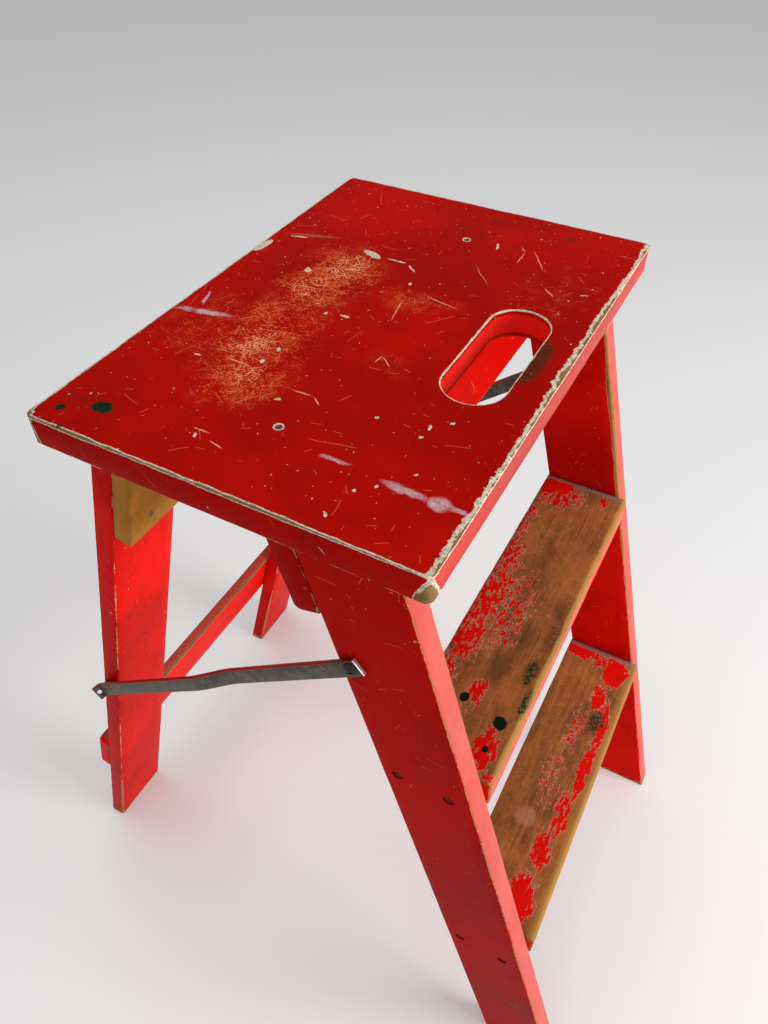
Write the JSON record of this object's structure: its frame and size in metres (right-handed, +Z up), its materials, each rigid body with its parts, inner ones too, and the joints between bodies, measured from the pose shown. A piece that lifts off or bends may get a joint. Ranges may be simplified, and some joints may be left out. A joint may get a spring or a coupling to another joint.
{
  "type": "folding step stool",
  "caption": "A worn red painted wooden step stool with two treads and a seat board with a hand slot; the seat lifts and both raked frames fold flat on steel stays.",
  "frame": {"origin": "On the floor, midway between the front feet and the rear feet and midway between the two sides.", "axes": "+X points to the front, the side with the treads; +Y to the left side of the stool as a person sitting on it and facing the treads has it; +Z up."},
  "size_m": [0.5559, 0.3734, 0.66],
  "materials": {
    "red_wood": "glossy red enamel over wood, worn through to cream undercoat and bare brown wood on the edges and treads",
    "bare_wood": "unpainted softwood, yellow brown with age",
    "worn_steel": "dull dark steel with rubbed bright edges"
  },
  "bodies": {
    "front_frame": {"right_stringer": "red_wood", "left_stringer": "red_wood", "upper_tread": "red_wood", "lower_tread": "red_wood", "front_top_rail": "red_wood", "tread_screws": "worn_steel", "front_rail_screws": "worn_steel", "stay_pivot_screws": "worn_steel", "front_hinge_rail_screws": "worn_steel", "right_front_hinge_rail_leaf": "worn_steel", "right_front_hinge_pin": "worn_steel", "left_front_hinge_rail_leaf": "worn_steel", "left_front_hinge_pin": "worn_steel"},
    "seat": {"seat_board": "red_wood", "seat_hinge_bolts": "worn_steel", "front_hinge_seat_screws": "worn_steel", "rear_hinge_seat_screws": "worn_steel", "right_front_hinge_seat_leaf": "worn_steel", "right_rear_hinge_seat_leaf": "worn_steel", "left_front_hinge_seat_leaf": "worn_steel", "left_rear_hinge_seat_leaf": "worn_steel"},
    "rear_frame": {"right_rear_leg": "red_wood", "left_rear_leg": "red_wood", "rear_top_rail": "bare_wood", "rear_low_rail": "red_wood", "rear_rail_nails": "worn_steel", "low_rail_screws": "worn_steel", "stay_collars": "worn_steel", "rear_hinge_leg_screws": "worn_steel", "right_rear_hinge_leg_leaf": "worn_steel", "right_rear_hinge_pin": "worn_steel", "left_rear_hinge_leg_leaf": "worn_steel", "left_rear_hinge_pin": "worn_steel"},
    "right_stay": {"right_stay": "worn_steel", "right_stay_rivet": "worn_steel"},
    "left_stay": {"left_stay": "worn_steel", "left_stay_rivet": "worn_steel"}
  },
  "joints": [
    {"name": "seat_fold", "type": "hinge", "parent": "front_frame", "child": "seat", "pos_m": [0.01346, 0, 0.63575], "axis": [0, -1, 0], "range_deg": [0, 92]},
    {"name": "rear_frame_fold", "type": "hinge", "parent": "seat", "child": "rear_frame", "pos_m": [-0.10803, 0, 0.63575], "axis": [0, -1, 0], "range_deg": [-64, 0]},
    {"name": "right_stay_swing", "type": "hinge", "parent": "front_frame", "child": "right_stay", "pos_m": [0.0742, -0.1745, 0.54], "axis": [0, -1, 0], "range_deg": [0, 55.5]},
    {"name": "left_stay_swing", "type": "hinge", "parent": "front_frame", "child": "left_stay", "pos_m": [0.0742, 0.1745, 0.54], "axis": [0, -1, 0], "range_deg": [0, 55.5]}
  ],
  "couplings": [
    {"joint": "rear_frame_fold", "follows": "seat_fold", "ratio": -0.69},
    {"joint": "right_stay_swing", "follows": "seat_fold", "ratio": 0.597},
    {"joint": "left_stay_swing", "follows": "seat_fold", "ratio": 0.597}
  ]
}
